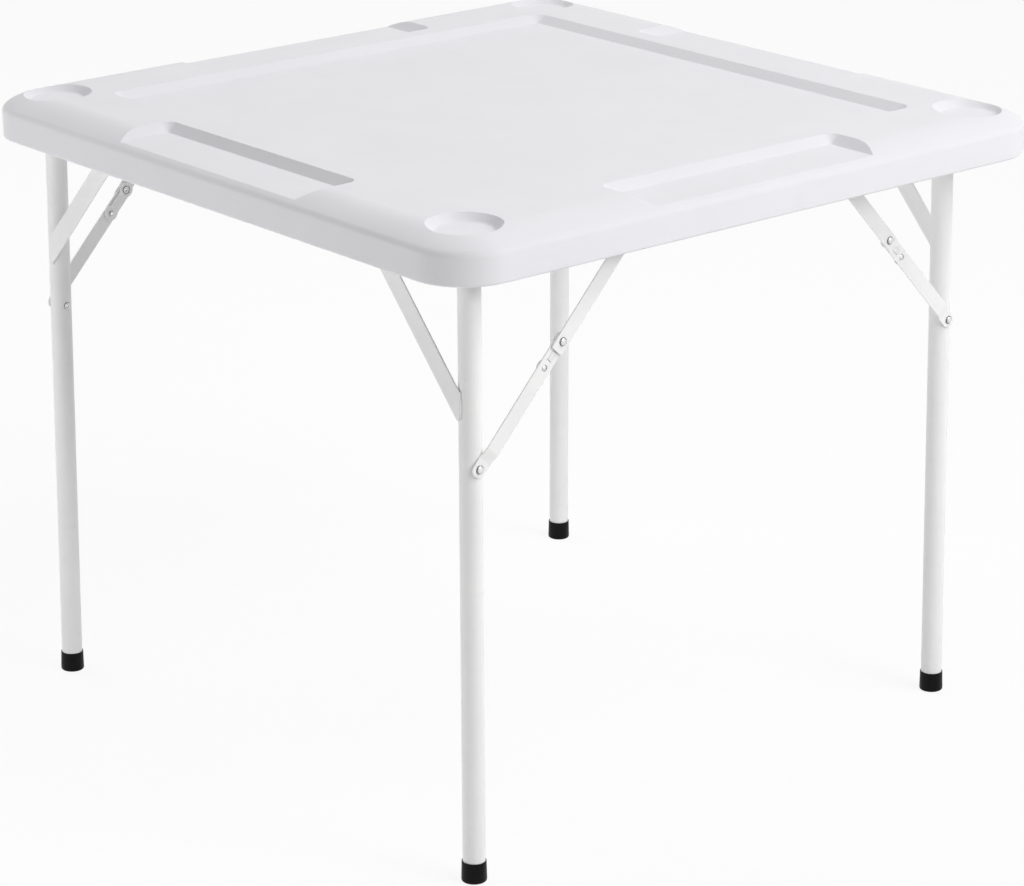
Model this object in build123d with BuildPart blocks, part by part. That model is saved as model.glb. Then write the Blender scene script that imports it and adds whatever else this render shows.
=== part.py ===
from build123d import *
from math import atan2, cos, degrees, hypot, radians, sin, tan
import os

# A square folding card table: a blow-moulded top on two steel leg frames that fold up
# under it, each leg held by a folding brace with a spring lock.
# Millimetres, +Z up, origin on the floor under the middle of the top.
# The front frame is at -Y and the rear frame at +Y. Pieces that repeat are drawn for the
# front right corner, at +X and -Y, and mirrored to the other corners.

os.makedirs("parts", exist_ok=True)

# Tabletop
top_width = 880
table_height = 735
skirt_depth = 51
corner_radius = 64
edge_run = 45
edge_slope = 27
edge_radius = 9
skirt_wall = 10
skirt_draft = 4
skirt_lip_radius = 3
panel_thickness = 21
rim_radius = 1.5

# Playing field, sunk into the top
field_depth = 9
field_slope = 55
field_corner = 16
field_floor_radius = 3

# Side trays, open towards the table's edge, and the land between them and the field
tray_inset = 85.5
tray_land = 23.5
tray_length = 349
tray_depth = 10
tray_slope = 50
tray_corner = 14
tray_lip = 7.5
tray_floor_radius = 2

# Cup rests in the corners
cup_radius = 40.4
cup_inset = 64.7
cup_depth = 7
cup_slope = 48
cup_floor_radius = 2

# Leg frames
tube_diameter = 25
tube_wall = 1.2
front_foot_inset = 49
rear_foot_inset = 92.5
foot_setback = 59
splay_side = 8.4
splay_end = 5.7
headroom = 4.5
nest_step = 1
weld_gap = 0.2

# Rubber feet
foot_height = 24
foot_top_radius = 13.6
foot_slope = 1.4
foot_sole = 4
foot_edge_radius = 2.5
foot_trim = 0.5
foot_fit = 0.05

# Fixed diagonal straps of the frames
strap_width = 24
strap_thickness = 2
strap_reach = 148
strap_drop = 158.5
strap_top = 5
strap_corner = 3

# Folding braces
leg_rivet_drop = 223.5
bracket_reach = 205
link_width = 18
link_thickness = 2
link_gap = 0.4
tab_gap = 0.3
joggle_start = 23
joggle_run = 12
joggle_height = 3
joggle_radius = 4

# Spring lock of a brace
lock_thickness = 1.2
lock_gap = 0.3
lock_rivet_offset = 34
lock_radius = 10.5
lock_waist = 13
lock_waist_radius = 3
lock_eye_radius = 5.8
lock_tail_gap = 0.7
lock_hole_gap = 0.3
catch_length = 7
catch_width = 6
catch_offset = 17
catch_proud = 0.2
catch_slope = 6
window_gap = 0.6

# Rivets
rivet_radius = 3
rivet_fit = 0.05
rivet_head_radius = 5
rivet_head_height = 2.4
rivet_tail_radius = 4.2
rivet_tail_height = 1.3
rivet_dimple_radius = 2
rivet_dimple_depth = 0.9
rivet_crown = 1.2
bracket_head_height = 1.2
rivet_play = 0.1
lock_rivet_radius = 1.8
lock_head_radius = 3.2
lock_tail_radius = 3
lock_tail_height = 1

# Brackets under the top
bracket_thickness = 2
flange_width = 19
flange_corner = 10
web_depth = 8
ear_radius = 12.5
brace_ear_radius = 11
ear_fillet = 5
bend_radius = 1.5
screw_end_gap = 12
journal_radius = 6
journal_fit = 0.05
journal_length = 4
plug_flange = 1.5
plug_gap = 0.3
plug_depth = 18
plug_fit = 0.05
plug_edge = 0.6

# Screws of the brackets
screw_radius = 1.9
screw_head_radius = 3.8
screw_length = 9
screw_count = 4
screw_fit = 0.05

# One overrun serves all cuts
overrun = 5

half_top = top_width / 2
field_width = top_width - 2 * (tray_inset + tray_land)
tube_radius = tube_diameter / 2
underside = table_height - panel_thickness
skirt_bottom = table_height - skirt_depth


class Frame:
    """Where one leg frame stands and where its braces run, at the front right corner."""

    def __init__(self, foot_inset, hinge_height):
        self.hinge_z = hinge_height
        self.foot_x = half_top - foot_inset
        self.foot_y = half_top - foot_setback
        self.hinge_x = self.foot_x - splay_side
        self.hinge_y = self.foot_y - splay_end
        self.hinge = Vector(self.hinge_x, -self.hinge_y, self.hinge_z)
        self.foot = Vector(self.foot_x, -self.foot_y, 0)
        self.down = (self.foot - self.hinge).normalized()
        # The leg leans out by this angle in the plane in which the frame folds
        self.tilt = atan2(splay_end, self.hinge_z)
        # The leg rivet, the bracket rivet and the middle rivet, as (y, z)
        self.leg_rivet = (
            -self.hinge_y - leg_rivet_drop * sin(self.tilt),
            self.hinge_z - leg_rivet_drop * cos(self.tilt),
        )
        self.bracket_rivet = (bracket_reach - self.hinge_y, self.hinge_z)
        run = self.bracket_rivet[0] - self.leg_rivet[0]
        rise = self.bracket_rivet[1] - self.leg_rivet[1]
        reach = hypot(run, rise)
        # The links lie in line both when the leg stands and when it is folded
        self.lower_length = (reach + leg_rivet_drop - bracket_reach) / 2
        self.upper_length = (reach - leg_rivet_drop + bracket_reach) / 2
        self.along = Vector(0, run / reach, rise / reach)
        self.rivet_x = self.hinge_x + splay_side * leg_rivet_drop / self.hinge_z
        # The layers of the brace, from the leg outwards
        self.tab_x = self.rivet_x + tube_radius + tab_gap
        self.lower_x = self.tab_x + joggle_height
        self.lock_x = self.lower_x - lock_gap - lock_thickness
        self.upper_x = self.lower_x + link_thickness + link_gap
        self.ear_x = self.upper_x + link_thickness + lock_gap

    def brace_plane(self, x, centre):
        """A plane square to X, with its own x along the brace."""
        return Plane((x, centre[0], centre[1]), x_dir=self.along, z_dir=(1, 0, 0))

    def middle_rivet(self):
        return (
            self.leg_rivet[0] + self.along.Y * self.lower_length,
            self.leg_rivet[1] + self.along.Z * self.lower_length,
        )

    def lock_rivet(self):
        distance = self.lower_length - lock_rivet_offset
        return (
            self.leg_rivet[0] + self.along.Y * distance,
            self.leg_rivet[1] + self.along.Z * distance,
        )


front = Frame(front_foot_inset, underside - tube_radius - headroom)
rear = Frame(rear_foot_inset, underside - tube_radius - headroom + nest_step)
frames = {"front": front, "rear": rear}
ends = ("front", "rear")
sides = ("left", "right")


def to_corner(piece, end, side):
    """Mirror a front right piece to its own corner."""
    moved = piece
    if side == "left":
        moved = mirror(moved, about=Plane.YZ)
    if end == "rear":
        moved = mirror(moved, about=Plane.XZ)
    return moved


def save(piece, name):
    piece.label = name
    export_step(piece, "parts/" + name + ".step")


def bracket_screw_places(frame):
    """Screw centres along a bracket's flange, as (x, y)."""
    first = -frame.hinge_y - ear_radius + screw_end_gap
    last = frame.bracket_rivet[0] + brace_ear_radius - screw_end_gap
    step = (last - first) / (screw_count - 1)
    x = frame.ear_x + (bracket_thickness + flange_width) / 2
    return [(x, first + step * number) for number in range(screw_count)]


def all_screw_places():
    """Screw centres of all four brackets."""
    places = []
    for x, y in bracket_screw_places(front):
        places += [(x, y), (-x, y)]
    for x, y in bracket_screw_places(rear):
        places += [(x, -y), (-x, -y)]
    return places


def round_recess(edges, floor_radius):
    """Round a recess of the top where it meets the top face and round its floor."""
    levels = edges.group_by(Axis.Z)
    fillet(levels[-1], radius=rim_radius)
    fillet(levels[0], radius=floor_radius)


# The top is one moulding: a panel with a skirt round it, a rolled edge, the sunk field,
# four trays and four cup rests. All the floors are rounded, and the rims of field and trays
def make_tabletop():
    roll_width = edge_radius * (1 - sin(radians(edge_slope)))
    wide_radius = (edge_run - roll_width) / sin(radians(edge_slope))
    tray_inner = half_top - tray_inset
    tray_outer = half_top - tray_lip + tray_depth * tan(radians(tray_slope))
    with BuildPart() as top:
        with BuildSketch(Plane.XY.offset(skirt_bottom)):
            RectangleRounded(top_width, top_width, corner_radius)
        extrude(amount=skirt_depth)
        # The edge slopes down in a wide arc and rolls over into the skirt in a small one
        with BuildLine(Plane.XY.offset(table_height)) as outline:
            FilletPolyline(
                (half_top, half_top),
                (-half_top, half_top),
                (-half_top, -half_top),
                (half_top, -half_top),
                close=True,
                radius=corner_radius,
            )
        path = outline.wires()[0]
        outward = (path % 0).cross(Vector(0, 0, 1))
        with BuildSketch(Plane(path @ 0, x_dir=outward, z_dir=-(path % 0))) as edge:
            with BuildLine():
                slope = JernArc((-edge_run, 0), (1, 0), wide_radius, -edge_slope)
                roll = JernArc(slope @ 1, slope % 1, edge_radius, edge_slope - 90)
                Polyline(
                    (-edge_run, 0),
                    (-edge_run, overrun),
                    (overrun, overrun),
                    (overrun, (roll @ 1).Y),
                    roll @ 1,
                )
            make_face()
        sweep(sections=edge.sketch, path=path, mode=Mode.SUBTRACT)
        # The hollow under the panel, which takes the folded legs
        inner_width = top_width - 2 * skirt_wall
        with BuildSketch(Plane.XY.offset(skirt_bottom)):
            RectangleRounded(inner_width, inner_width, corner_radius - skirt_wall)
        extrude(amount=underside - skirt_bottom, taper=skirt_draft, mode=Mode.SUBTRACT)
        fillet(top.edges().group_by(Axis.Z)[0], radius=skirt_lip_radius)
        with BuildSketch(Plane.XY.offset(table_height)):
            RectangleRounded(field_width, field_width, field_corner)
        extrude(amount=-field_depth, taper=field_slope, mode=Mode.SUBTRACT)
        round_recess(top.edges(Select.LAST), field_floor_radius)
        with BuildSketch(Plane.XY.offset(table_height)):
            with PolarLocations((tray_inner + tray_outer) / 2, 4):
                RectangleRounded(tray_outer - tray_inner, tray_length, tray_corner)
        extrude(amount=-tray_depth, taper=tray_slope, mode=Mode.SUBTRACT)
        round_recess(top.edges(Select.LAST), tray_floor_radius)
        cup_spacing = top_width - 2 * cup_inset
        with BuildSketch(Plane.XY.offset(table_height)):
            with GridLocations(cup_spacing, cup_spacing, 2, 2):
                Circle(cup_radius)
        extrude(amount=-cup_depth, taper=cup_slope, mode=Mode.SUBTRACT)
        fillet(top.edges(Select.LAST).group_by(Axis.Z)[0], radius=cup_floor_radius)
        # Pilot holes for the bracket screws
        with BuildSketch(Plane.XY.offset(underside)):
            with Locations(*all_screw_places()):
                Circle(screw_radius + screw_fit)
        extrude(amount=screw_length - bracket_thickness + screw_fit, mode=Mode.SUBTRACT)
    return top.part


# A bracket is a steel angle with two ears bent down: one carries the frame's hinge
# journal, the other the upper end of the folding brace
def make_bracket(frame):
    back = -frame.hinge_y - ear_radius
    front_end = frame.bracket_rivet[0] + brace_ear_radius
    length = front_end - back
    middle = (back + front_end) / 2
    web_edge = underside - web_depth
    with BuildPart() as bracket:
        with BuildSketch(Plane.YZ.offset(frame.ear_x)) as web:
            with Locations((middle, underside)):
                Rectangle(length, web_depth, align=(Align.CENTER, Align.MAX))
            ears = ((-frame.hinge_y, ear_radius), (frame.bracket_rivet[0], brace_ear_radius))
            for centre, radius in ears:
                with Locations((centre, frame.hinge_z)):
                    Circle(radius)
                    Rectangle(
                        2 * radius, underside - frame.hinge_z, align=(Align.CENTER, Align.MIN)
                    )
            corners = web.vertices().filter_by_position(Axis.Z, web_edge, web_edge)
            fillet(corners, radius=ear_fillet)
            with Locations((-frame.hinge_y, frame.hinge_z)):
                Circle(journal_radius + journal_fit, mode=Mode.SUBTRACT)
            with Locations((frame.bracket_rivet[0], frame.hinge_z)):
                Circle(rivet_radius + rivet_fit, mode=Mode.SUBTRACT)
        extrude(amount=bracket_thickness)
        with BuildSketch(Plane.XY.offset(underside)) as flange:
            with Locations((frame.ear_x, middle)):
                Rectangle(
                    bracket_thickness + flange_width, length, align=(Align.MIN, Align.CENTER)
                )
            fillet(flange.vertices().group_by(Axis.X)[-1], radius=flange_corner)
        extrude(amount=-bracket_thickness)
        bend = bracket.edges().filter_by(Axis.Y).group_by(Axis.Z)[-1].sort_by(Axis.X)[0]
        fillet(bend, radius=bend_radius)
        for x, y in bracket_screw_places(frame):
            with Locations(Plane((x, y, underside - bracket_thickness), z_dir=(0, 0, -1))):
                CounterSinkHole(
                    radius=screw_radius + screw_fit,
                    counter_sink_radius=screw_head_radius + screw_fit,
                    depth=bracket_thickness,
                    counter_sink_angle=90,
                )
    return bracket.part


# Countersunk screws that hold the four brackets to the panel, one group of solids
def make_bracket_screws():
    head_height = screw_head_radius - screw_radius
    with BuildPart() as screws:
        with BuildSketch(Plane.XY.offset(underside - bracket_thickness)):
            with Locations(*all_screw_places()):
                Circle(screw_head_radius)
        extrude(amount=head_height, taper=45)
        with BuildSketch(Plane.XY.offset(underside - bracket_thickness)):
            with Locations(*all_screw_places()):
                Circle(screw_radius)
        extrude(amount=screw_length)
    return screws.part


# The hinge tube of a frame runs across the table between its two brackets
def make_hinge_tube(frame):
    end = frame.ear_x - plug_gap - plug_flange
    with BuildPart() as tube:
        with BuildSketch(Plane.YZ):
            with Locations((-frame.hinge_y, frame.hinge_z)):
                Circle(tube_radius)
                Circle(tube_radius - tube_wall, mode=Mode.SUBTRACT)
        extrude(amount=end, both=True)
    return tube.part


# A moulded plug closes each end of the hinge tube, and its journal turns in the bracket
def make_hinge_plugs(frame):
    end = frame.ear_x - plug_gap - plug_flange
    centre = (-frame.hinge_y, frame.hinge_z)
    with BuildPart() as plugs:
        with BuildSketch(Plane.YZ.offset(end)):
            with Locations(centre):
                Circle(tube_radius - tube_wall - plug_fit)
        extrude(amount=-plug_depth)
        with BuildSketch(Plane.YZ.offset(end)):
            with Locations(centre):
                Circle(tube_radius)
        extrude(amount=plug_flange)
        with BuildSketch(Plane.YZ.offset(end)):
            with Locations(centre):
                Circle(journal_radius)
        extrude(amount=plug_flange + plug_gap + journal_length)
        tip = plugs.faces().sort_by(Axis.X)[-1]
        chamfer(tip.edges(), length=plug_edge)
        mirror(about=Plane.YZ)
    return plugs.part


# A leg is a tube that is coped to the hinge tube at its top and ends inside its foot
def make_leg(frame):
    length = (frame.foot - frame.hinge).length - foot_sole - foot_fit
    with BuildPart() as leg:
        with BuildSketch(Plane(frame.hinge, z_dir=frame.down)):
            Circle(tube_radius)
            Circle(tube_radius - tube_wall, mode=Mode.SUBTRACT)
        extrude(amount=length)
        with BuildSketch(Plane.YZ.offset(frame.hinge_x)):
            with Locations((-frame.hinge_y, frame.hinge_z)):
                Circle(tube_radius + weld_gap)
        extrude(amount=tube_diameter, both=True, mode=Mode.SUBTRACT)
        with BuildSketch(Plane.YZ.offset(frame.rivet_x)):
            with Locations(frame.leg_rivet):
                Circle(rivet_radius + rivet_fit)
        extrude(amount=tube_diameter, both=True, mode=Mode.SUBTRACT)
    return leg.part


# A rubber foot is a cup pushed over the end of the leg, cut level with the floor
def make_foot(frame):
    sole = Plane(frame.foot, z_dir=-frame.down)
    grown = (foot_height + foot_trim) * tan(radians(foot_slope))
    with BuildPart() as foot:
        with BuildSketch(sole.offset(-foot_trim)):
            Circle(foot_top_radius + grown)
        extrude(amount=foot_height + foot_trim, taper=foot_slope)
        fillet(foot.edges().sort_by(Axis.Z)[0], radius=foot_edge_radius)
        with BuildSketch(sole.offset(foot_sole)):
            Circle(tube_radius + foot_fit)
        extrude(amount=foot_height, mode=Mode.SUBTRACT)
        split(bisect_by=Plane.XY, keep=Keep.TOP)
    return foot.part


# A flat diagonal strap stiffens the corner between the leg and the hinge tube. It lies on
# the outer side of both, cut along the leg's middle line and level above the hinge tube
def make_strap(frame):
    outer = tube_radius + weld_gap
    face = Plane(
        frame.hinge, x_dir=(1, 0, 0), z_dir=(0, -cos(frame.tilt), sin(frame.tilt))
    ).offset(outer)
    low = Vector(splay_side * strap_drop / frame.hinge_z, -strap_drop)
    high = Vector(low.X - strap_reach, 0)
    slope = degrees(atan2(high.Y - low.Y, high.X - low.X))
    long_enough = 2 * (strap_reach + strap_drop)
    with BuildPart() as strap:
        with BuildSketch(face) as outline:
            with Locations(Location(((low.X + high.X) / 2, (low.Y + high.Y) / 2), slope)):
                Rectangle(long_enough, strap_width)
            with Locations((low.X, strap_top)):
                Rectangle(
                    long_enough, long_enough, align=(Align.MAX, Align.MAX), mode=Mode.INTERSECT
                )
            fillet(outline.vertices(), radius=strap_corner)
        extrude(amount=strap_thickness)
    return strap.part


# A leg rivet goes through the leg and the lower link. It is domed outside and rolled over
# with a dimple inside
def make_leg_rivets(frame):
    head_x = frame.tab_x + link_thickness + rivet_play
    tail_x = frame.rivet_x - tube_radius - rivet_play
    with BuildPart() as rivets:
        with BuildSketch(Plane.YZ.offset(tail_x)):
            with Locations(frame.leg_rivet):
                Circle(rivet_radius)
        extrude(amount=head_x - tail_x)
        with BuildSketch(Plane.YZ.offset(head_x)):
            with Locations(frame.leg_rivet):
                Circle(rivet_head_radius)
        extrude(amount=rivet_head_height)
        chamfer(rivets.edges().sort_by(Axis.X)[-1], length=rivet_crown)
        with BuildSketch(Plane.YZ.offset(tail_x)):
            with Locations(frame.leg_rivet):
                Circle(rivet_tail_radius)
        extrude(amount=-rivet_tail_height)
        with BuildSketch(Plane.YZ.offset(tail_x - rivet_tail_height)):
            with Locations(frame.leg_rivet):
                Circle(rivet_dimple_radius)
        extrude(amount=rivet_dimple_depth, mode=Mode.SUBTRACT)
        mirror(about=Plane.YZ)
    return rivets.part


# The lower link of a folding brace steps out from the leg, past the thickness of the lock
def make_lower_link(frame):
    length = frame.lower_length
    start = -link_width
    finish = length + link_width
    ramp_end = joggle_start + joggle_run
    side_view = Plane(
        (frame.tab_x, frame.leg_rivet[0], frame.leg_rivet[1]),
        x_dir=frame.along,
        z_dir=frame.along.cross(Vector(1, 0, 0)),
    )
    with BuildPart() as link:
        with BuildSketch(side_view):
            with BuildLine():
                inner = FilletPolyline(
                    (start, 0),
                    (joggle_start, 0),
                    (ramp_end, joggle_height),
                    (finish, joggle_height),
                    radius=joggle_radius,
                )
                outer = FilletPolyline(
                    (start, link_thickness),
                    (joggle_start, link_thickness),
                    (ramp_end, joggle_height + link_thickness),
                    (finish, joggle_height + link_thickness),
                    radius=joggle_radius,
                )
                Line(inner @ 0, outer @ 0)
                Line(inner @ 1, outer @ 1)
            make_face()
        extrude(amount=link_width, both=True)
        front_view = frame.brace_plane(frame.tab_x - overrun, frame.leg_rivet)
        depth = joggle_height + link_thickness + 2 * overrun
        with BuildSketch(front_view):
            with Locations((length / 2, 0)):
                SlotCenterToCenter(length, link_width)
        extrude(amount=depth, mode=Mode.INTERSECT)
        with BuildSketch(front_view):
            with Locations((0, 0), (length, 0)):
                Circle(rivet_radius + rivet_fit)
            with Locations((length - catch_offset, 0)):
                Rectangle(catch_length + 2 * window_gap, catch_width + 2 * window_gap)
        extrude(amount=depth, mode=Mode.SUBTRACT)
        outer_face = frame.lower_x + link_thickness
        with Locations(frame.brace_plane(outer_face, frame.lock_rivet())):
            CounterSinkHole(
                radius=lock_rivet_radius + rivet_fit,
                counter_sink_radius=lock_head_radius + rivet_fit,
                depth=link_thickness,
                counter_sink_angle=90,
            )
    return link.part


# The upper link is a flat strip from the middle rivet to the bracket, outside the lower one
def make_upper_link(frame):
    length = frame.upper_length
    with BuildPart() as link:
        with BuildSketch(frame.brace_plane(frame.upper_x, frame.middle_rivet())):
            with Locations((length / 2, 0)):
                SlotCenterToCenter(length, link_width)
            with Locations((0, 0), (length, 0)):
                Circle(rivet_radius + rivet_fit, mode=Mode.SUBTRACT)
        extrude(amount=link_thickness)
    return link.part


# The lock is a thin waisted spring plate inside the lower link. Its catch stands in a
# window of the link, and its eye leaves the middle rivet's tail free
def make_lock_spring(frame):
    length = frame.lower_length
    foot = length - lock_rivet_offset
    catch_height = frame.lower_x + link_thickness + catch_proud - frame.lock_x
    with BuildPart() as lock:
        with BuildSketch(frame.brace_plane(frame.lock_x, frame.leg_rivet)) as plate:
            with Locations((foot, 0), (length, 0)):
                Circle(lock_radius)
            with Locations(((foot + length) / 2, 0)):
                Rectangle(lock_rivet_offset, lock_waist)
            fillet(plate.vertices(), radius=lock_waist_radius)
            with Locations((foot, 0)):
                Circle(lock_rivet_radius + lock_hole_gap, mode=Mode.SUBTRACT)
            with Locations((length, 0)):
                Circle(lock_eye_radius, mode=Mode.SUBTRACT)
        extrude(amount=lock_thickness)
        with BuildSketch(frame.brace_plane(frame.lock_x, frame.leg_rivet)):
            with Locations((length - catch_offset, 0)):
                Rectangle(catch_length, catch_width)
        extrude(amount=catch_height, taper=catch_slope)
    return lock.part


# The lock rivet is flush outside, so that the upper link can fold over it
def make_lock_rivet(frame):
    outer_face = frame.lower_x + link_thickness
    tail_face = frame.lock_x - lock_tail_gap
    with BuildPart() as rivet:
        with BuildSketch(frame.brace_plane(outer_face, frame.lock_rivet())):
            Circle(lock_head_radius)
        extrude(amount=-(lock_head_radius - lock_rivet_radius), taper=45)
        with BuildSketch(frame.brace_plane(outer_face, frame.lock_rivet())):
            Circle(lock_rivet_radius)
        extrude(amount=tail_face - outer_face)
        with BuildSketch(frame.brace_plane(tail_face, frame.lock_rivet())):
            Circle(lock_tail_radius)
        extrude(amount=-lock_tail_height)
    return rivet.part


# The middle rivet is drawn in two halves that part between the links: the headed half
# turns with the upper link, the rolled half with the lower one
def make_rivet_head(frame):
    split_x = frame.upper_x - (link_gap - rivet_play) / 2
    outer_face = frame.upper_x + link_thickness
    with BuildPart() as head:
        with BuildSketch(frame.brace_plane(split_x, frame.middle_rivet())):
            Circle(rivet_radius)
        extrude(amount=outer_face - split_x)
        with BuildSketch(frame.brace_plane(outer_face, frame.middle_rivet())):
            Circle(rivet_head_radius)
        extrude(amount=rivet_head_height)
        chamfer(head.edges().sort_by(Axis.X)[-1], length=rivet_crown)
    return head.part


def make_rivet_tail(frame):
    split_x = frame.upper_x - (link_gap + rivet_play) / 2
    tail_x = frame.lower_x - rivet_tail_height
    with BuildPart() as tail:
        with BuildSketch(frame.brace_plane(frame.lower_x, frame.middle_rivet())):
            Circle(rivet_radius)
        extrude(amount=split_x - frame.lower_x)
        with BuildSketch(frame.brace_plane(frame.lower_x, frame.middle_rivet())):
            Circle(rivet_tail_radius)
        extrude(amount=-rivet_tail_height)
        with BuildSketch(frame.brace_plane(tail_x, frame.middle_rivet())):
            Circle(rivet_dimple_radius)
        extrude(amount=rivet_dimple_depth, mode=Mode.SUBTRACT)
    return tail.part


# The bracket rivets carry the upper links, a thin head inside and a rolled tail outside
def make_bracket_rivet(frame):
    head_x = frame.upper_x - rivet_play
    tail_x = frame.ear_x + bracket_thickness
    with BuildPart() as rivet:
        with BuildSketch(Plane.YZ.offset(head_x)):
            with Locations(frame.bracket_rivet):
                Circle(rivet_head_radius)
        extrude(amount=-bracket_head_height)
        with BuildSketch(Plane.YZ.offset(head_x)):
            with Locations(frame.bracket_rivet):
                Circle(rivet_radius)
        extrude(amount=tail_x - head_x)
        with BuildSketch(Plane.YZ.offset(tail_x)):
            with Locations(frame.bracket_rivet):
                Circle(rivet_tail_radius)
        extrude(amount=rivet_tail_height)
        with BuildSketch(Plane.YZ.offset(tail_x + rivet_tail_height)):
            with Locations(frame.bracket_rivet):
                Circle(rivet_dimple_radius)
        extrude(amount=-rivet_dimple_depth, mode=Mode.SUBTRACT)
    return rivet.part


def make_bracket_rivets():
    placed = []
    for end in ends:
        rivet = make_bracket_rivet(frames[end])
        placed += [to_corner(rivet, end, side) for side in sides]
    with BuildPart() as rivets:
        add(placed)
    return rivets.part


# Pieces fixed to the top
save(make_tabletop(), "tabletop")
save(make_bracket_screws(), "bracket_screws")
save(make_bracket_rivets(), "bracket_rivets")

# Pieces that come once to a frame
for end in ends:
    frame = frames[end]
    save(to_corner(make_hinge_tube(frame), end, "right"), end + "_hinge_tube")
    save(to_corner(make_hinge_plugs(frame), end, "right"), end + "_hinge_plugs")
    save(to_corner(make_leg_rivets(frame), end, "right"), end + "_leg_rivets")

# Pieces that come once to a corner
corner_pieces = {
    "bracket": make_bracket,
    "leg": make_leg,
    "foot": make_foot,
    "strap": make_strap,
    "lower_link": make_lower_link,
    "upper_link": make_upper_link,
    "lock_spring": make_lock_spring,
    "lock_rivet": make_lock_rivet,
    "rivet_head": make_rivet_head,
    "rivet_tail": make_rivet_tail,
}
for kind, make in corner_pieces.items():
    for end in ends:
        piece = make(frames[end])
        for side in sides:
            save(to_corner(piece, end, side), end + "_" + side + "_" + kind)
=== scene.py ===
import bpy
from math import atan2, cos, hypot, pi, radians, sin, sqrt, tan
from mathutils import Matrix, Vector
from mathutils.geometry import delaunay_2d_cdt
import numpy as np


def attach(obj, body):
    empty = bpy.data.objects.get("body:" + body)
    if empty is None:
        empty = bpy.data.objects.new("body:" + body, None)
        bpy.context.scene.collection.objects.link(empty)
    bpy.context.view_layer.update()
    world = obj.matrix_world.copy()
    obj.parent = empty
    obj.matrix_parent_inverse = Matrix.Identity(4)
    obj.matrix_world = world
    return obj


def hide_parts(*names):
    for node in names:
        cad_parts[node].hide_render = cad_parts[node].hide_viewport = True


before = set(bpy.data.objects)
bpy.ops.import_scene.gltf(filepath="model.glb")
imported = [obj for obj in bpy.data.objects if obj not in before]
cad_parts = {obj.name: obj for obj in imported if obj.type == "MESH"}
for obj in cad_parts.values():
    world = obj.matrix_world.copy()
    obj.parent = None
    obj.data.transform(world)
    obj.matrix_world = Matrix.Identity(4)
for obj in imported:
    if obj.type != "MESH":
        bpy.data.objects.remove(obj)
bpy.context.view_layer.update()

# A folding card table. Shapes are worked out in millimetres and written in metres, in the
# frame of the CAD model: +Z up, origin on the floor under the middle of the top.
MM = 0.001
ENDS = ("front", "rear")
SIDES = ("left", "right")

# Sizes of the tabletop
HALF_TOP = 440
TABLE_HEIGHT = 735
UNDERSIDE = 714
SKIRT_BOTTOM = 684
CORNER_RADIUS = 64
EDGE_RUN = 45
EDGE_SLOPE = radians(34)
EDGE_RADIUS = 10
WIDE_RADIUS = (EDGE_RUN - EDGE_RADIUS * (1 - sin(EDGE_SLOPE))) / sin(EDGE_SLOPE)
SKIRT_WALL = 10
SKIRT_DRAFT = 4
SKIRT_STRAIGHT = 0.85
SKIRT_BEND = 4
LIP_RADIUS = 3
RIM_RADIUS = 1.5
FIELD_HALF = 331
FIELD_CORNER = 16
FIELD_DEPTH = 9
FIELD_SLOPE = 55
FIELD_FLOOR_RADIUS = 3
TRAY_CORNER = 14
TRAY_DEPTH = 10
TRAY_SLOPE = 50
TRAY_FLOOR_RADIUS = 2
TRAY_INNER = 354.5
TRAY_OUTER = 432.5 + TRAY_DEPTH * tan(radians(TRAY_SLOPE))
TRAY_HALF_LENGTH = 174.5
CUP_CENTRE = HALF_TOP - 64.2
CUP_RADIUS = 41.3
CUP_DEPTH = 8.6
CUP_SLOPE = 48
CUP_FLOOR_RADIUS = 7

# Sizes of the leg frames. A foot stands outside the end of its leg at the hinge by
# SPLAY_X and SPLAY_Y.
TUBE_RADIUS = 12.5
FOOT_Y = 381
SPLAY_X = 8.4
SPLAY_Y = 5.7
WELD_GAP = 0.2
PLATE_EDGE = 0.45
STRAP_HALF = 12
STRAP_THICKNESS = 2
STRAP_CORNER = 3
STRAP_DROP = 158.5
STRAP_REACH = 148
STRAP_TOP = 5

# Sizes of the braces. The rivets' places are measured from the hinge.
RIVET_DROP = 223.5
BRACKET_REACH = 205
LOWER_EXCESS = 18.5
LINK_HALF = 9
LINK_THICKNESS = 2
LINK_GAP = 0.4
TUBE_GAP = 0.3
JOGGLE_START = 11
JOGGLE_RUN = 12
JOGGLE_HEIGHT = 3
JOGGLE_BEND = 0.45
UPPER_END = 12.6
UPPER_CORNER = 2.5
LOCK_THICKNESS = 1.2
LOCK_EDGE = 0.3
LOCK_RADIUS = 9.4
LOCK_WAIST = 6.5
LOCK_REACH = 34
CATCH_OFFSET = 19
CATCH_HALF = 5.6
CATCH_HALF_WIDTH = 3.1
WINDOW_HALF = CATCH_HALF + 0.5
WINDOW_HALF_WIDTH = 3.3


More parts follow.
